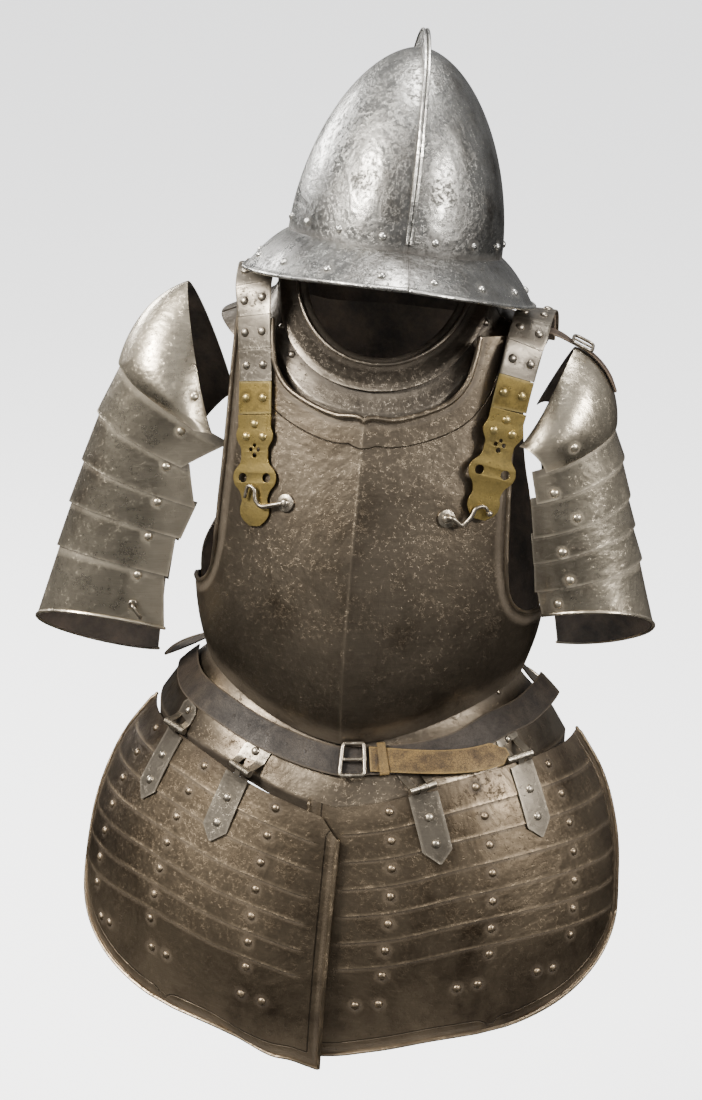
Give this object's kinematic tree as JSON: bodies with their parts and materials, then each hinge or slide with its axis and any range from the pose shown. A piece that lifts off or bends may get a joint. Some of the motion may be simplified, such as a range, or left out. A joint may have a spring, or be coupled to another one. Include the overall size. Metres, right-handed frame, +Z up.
{
  "type": "suit of plate armour",
  "caption": "Worn half armour of steel plates: combed helmet, neck plates, breast and back, skirt lame, hinged thigh plates, laminated shoulder and arm defences, plated straps and belt.",
  "frame": {"origin": "mid-shoulder, between the two shoulder straps, where the wearer's shoulders carry the suit", "axes": "+Z up, front of the suit to -Y, wearer's left to +X"},
  "size_m": [0.6245, 0.4063, 0.966],
  "materials": {
    "body_steel": "worn dark polish",
    "thigh_steel": "worn dark polish",
    "helmet_steel": "mottled polish",
    "arm_steel": "bright worn polish",
    "neck_steel": "dark polish",
    "scale_steel": "worn polish",
    "fitting_steel": "worn polish",
    "brass": "dull old brass",
    "strap_leather": "old dark leather",
    "belt_leather": "old dark leather",
    "worn_leather": "worn tan leather"
  },
  "bodies": {
    "suit": {"backplate": "body_steel", "belt_buckle": "fitting_steel", "belt_keeper": "worn_leather", "belt_tail": "worn_leather", "breastplate": "body_steel", "fauld": "body_steel", "gorget_back": "neck_steel", "gorget_collar_back": "neck_steel", "gorget_collar_front": "neck_steel", "gorget_front": "neck_steel", "helmet_left_half": "helmet_steel", "helmet_right_half": "helmet_steel", "hinge_upper_left_inner": "fitting_steel", "hinge_upper_left_outer": "fitting_steel", "hinge_upper_right_inner": "fitting_steel", "hinge_upper_right_outer": "fitting_steel", "pauldron_left_buckle": "fitting_steel", "pauldron_left_plate_1": "arm_steel", "pauldron_left_plate_2": "arm_steel", "pauldron_left_plate_3": "arm_steel", "pauldron_left_plate_4": "arm_steel", "pauldron_left_plate_5": "arm_steel", "pauldron_left_plate_6": "arm_steel", "pauldron_left_strap": "belt_leather", "pauldron_right_catch": "fitting_steel", "pauldron_right_plate_1": "arm_steel", "pauldron_right_plate_2": "arm_steel", "pauldron_right_plate_3": "arm_steel", "pauldron_right_plate_4": "arm_steel", "pauldron_right_plate_5": "arm_steel", "pauldron_right_plate_6": "arm_steel", "strap_brass_plate_left": "brass", "strap_brass_plate_right": "brass", "strap_brass_tip_left": "brass", "strap_brass_tip_right": "brass", "strap_hook_left": "fitting_steel", "strap_hook_right": "fitting_steel", "strap_leather_left": "strap_leather", "strap_leather_right": "strap_leather", "strap_scale_left_1": "scale_steel", "strap_scale_left_2": "scale_steel", "strap_scale_left_3": "scale_steel", "strap_scale_left_4": "scale_steel", "strap_scale_left_5": "scale_steel", "strap_scale_left_6": "scale_steel", "strap_scale_right_1": "scale_steel", "strap_scale_right_2": "scale_steel", "strap_scale_right_3": "scale_steel", "strap_scale_right_4": "scale_steel", "strap_scale_right_5": "scale_steel", "strap_scale_right_6": "scale_steel", "waist_belt": "belt_leather"},
    "thigh_left": {"hinge_lower_left_inner": "fitting_steel", "hinge_lower_left_outer": "fitting_steel", "tasset_left": "thigh_steel"},
    "thigh_right": {"hinge_lower_right_inner": "fitting_steel", "hinge_lower_right_outer": "fitting_steel", "tasset_right": "thigh_steel"}
  },
  "joints": [
    {"name": "thigh_left_swing", "type": "hinge", "parent": "suit", "child": "thigh_left", "pos_m": [0.08436, -0.19297, -0.46029], "axis": [-0.7998, -0.5889, -0.1159], "range_deg": [0, 22]},
    {"name": "thigh_right_swing", "type": "hinge", "parent": "suit", "child": "thigh_right", "pos_m": [-0.17123, -0.12289, -0.4576], "axis": [-0.7725, 0.6317, 0.0646], "range_deg": [0, 30]}
  ],
  "couplings": [
    {"joint": "thigh_right_swing", "follows": "thigh_left_swing", "ratio": 1.35}
  ]
}
